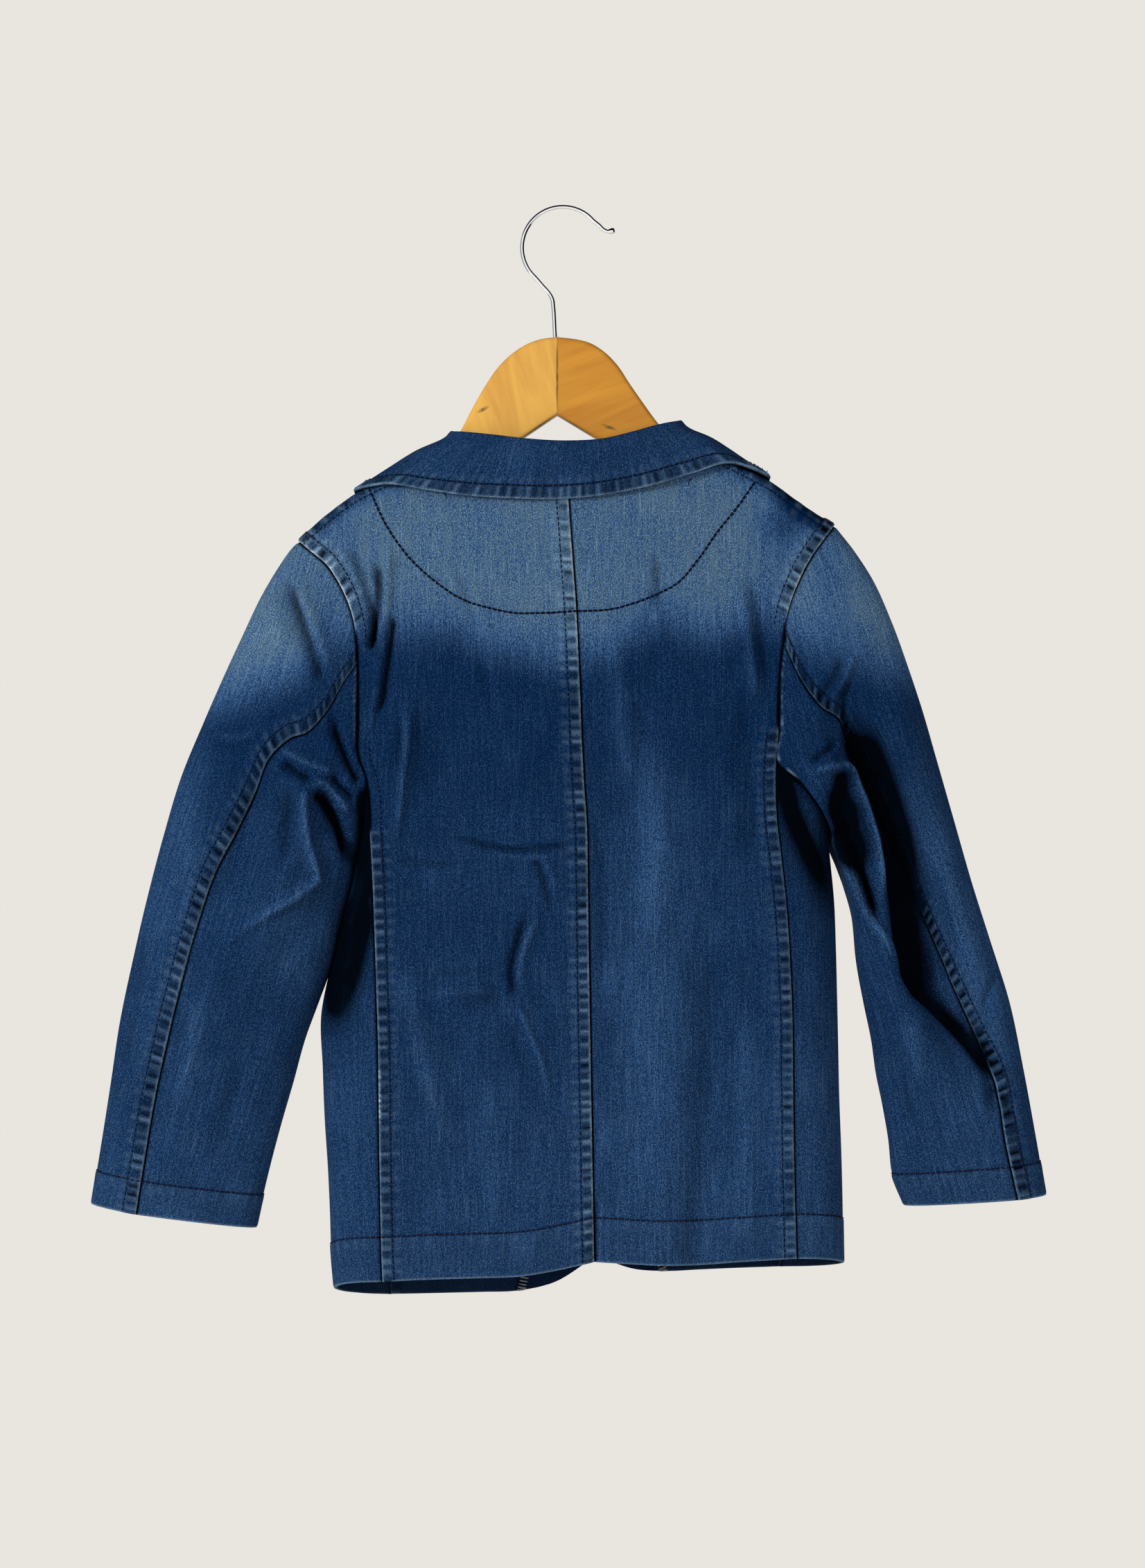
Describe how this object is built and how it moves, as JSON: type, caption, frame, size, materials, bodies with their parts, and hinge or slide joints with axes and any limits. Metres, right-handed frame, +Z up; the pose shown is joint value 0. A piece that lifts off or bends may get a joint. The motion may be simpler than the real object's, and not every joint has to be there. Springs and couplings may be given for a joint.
{
  "type": "denim blazer on a wooden hanger",
  "caption": "Child's stretch denim blazer with turned-down collar, two-piece sleeves and faded shoulders, hung on a wooden hanger with a wire hook.",
  "frame": {"origin": "inside of the crown of the hanger's hook, where the rail or nail carries it", "axes": "+Z up, -Y towards someone looking at the blazer's back, +X to that viewer's right"},
  "size_m": [0.5385, 0.0588, 0.6137],
  "materials": {
    "denim_indigo": "stretch denim, indigo, softly washed",
    "denim_shoulder_faded": "stretch denim, sprayed to a pale fade over the shoulders",
    "button_navy": "polished dark button",
    "hanger_wood": "clear varnished light wood",
    "hook_wire": "bright chromed steel wire"
  },
  "bodies": {
    "root": {"back_left": "denim_shoulder_faded", "back_right": "denim_shoulder_faded", "side_left": "denim_indigo", "side_right": "denim_indigo", "front_left": "denim_indigo", "front_right": "denim_indigo", "facing_left": "denim_indigo", "facing_right": "denim_indigo", "lapel_left": "denim_indigo", "lapel_right": "denim_indigo", "collar": "denim_indigo", "top_sleeve_left": "denim_indigo", "top_sleeve_right": "denim_indigo", "under_sleeve_left": "denim_indigo", "under_sleeve_right": "denim_indigo", "button_upper": "button_navy", "button_lower": "button_navy", "hanger_left": "hanger_wood", "hanger_right": "hanger_wood", "hook": "hook_wire"}
  },
  "joints": []
}
